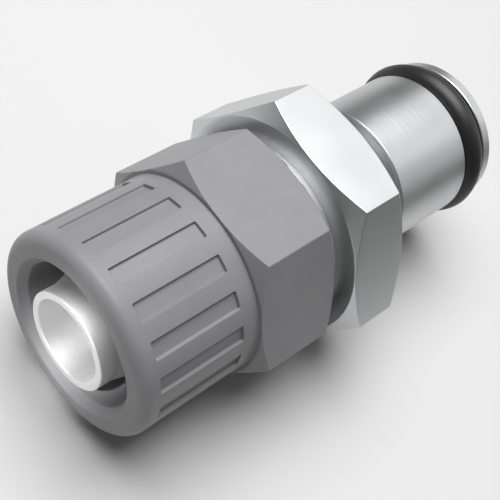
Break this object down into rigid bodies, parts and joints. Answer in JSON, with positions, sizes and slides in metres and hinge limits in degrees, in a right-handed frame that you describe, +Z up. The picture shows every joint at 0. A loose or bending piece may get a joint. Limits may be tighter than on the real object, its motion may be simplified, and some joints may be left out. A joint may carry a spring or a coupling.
{
  "type": "quick disconnect coupling insert",
  "caption": "Valved plug half of a quick disconnect coupling: latch groove, O-ring and sprung poppet, with a hexagon body and a clamp nut over a barbed stem for plastic tube.",
  "frame": {"origin": "on the axis at the plug's latch shoulder, where the plug meets the latch groove", "axes": "+X along the axis from the clamp nut to the tip of the plug, +Z up with the part lying on a flat of its body hexagon"},
  "size_m": [0.0479, 0.0256, 0.0222],
  "materials": {
    "plated_brass": "satin",
    "grey_acetal": "satin",
    "black_rubber": "satin",
    "white_acetal": "satin",
    "spring_steel": "satin"
  },
  "bodies": {
    "insert": {"plug_body": "plated_brass", "plug_o_ring": "black_rubber", "tube_stem": "plated_brass", "stem_o_ring": "black_rubber", "valve_guide": "white_acetal", "valve_spring": "spring_steel"},
    "nut": {"clamp_nut": "grey_acetal"},
    "poppet": {"valve_poppet": "white_acetal", "poppet_o_ring": "black_rubber"}
  },
  "joints": [
    {"name": "nut_turn", "type": "hinge", "parent": "insert", "child": "nut", "pos_m": [-0.0227, 0, 0], "axis": [-1, 0, 0], "range_deg": [0, 2520]},
    {"name": "poppet_slide", "type": "slide", "parent": "insert", "child": "poppet", "axis": [-1, 0, 0], "range_m": [0, 0.004], "stiffness_N_per_m": 910, "springref_m": -0.004, "deforming": ["valve_spring"]}
  ]
}
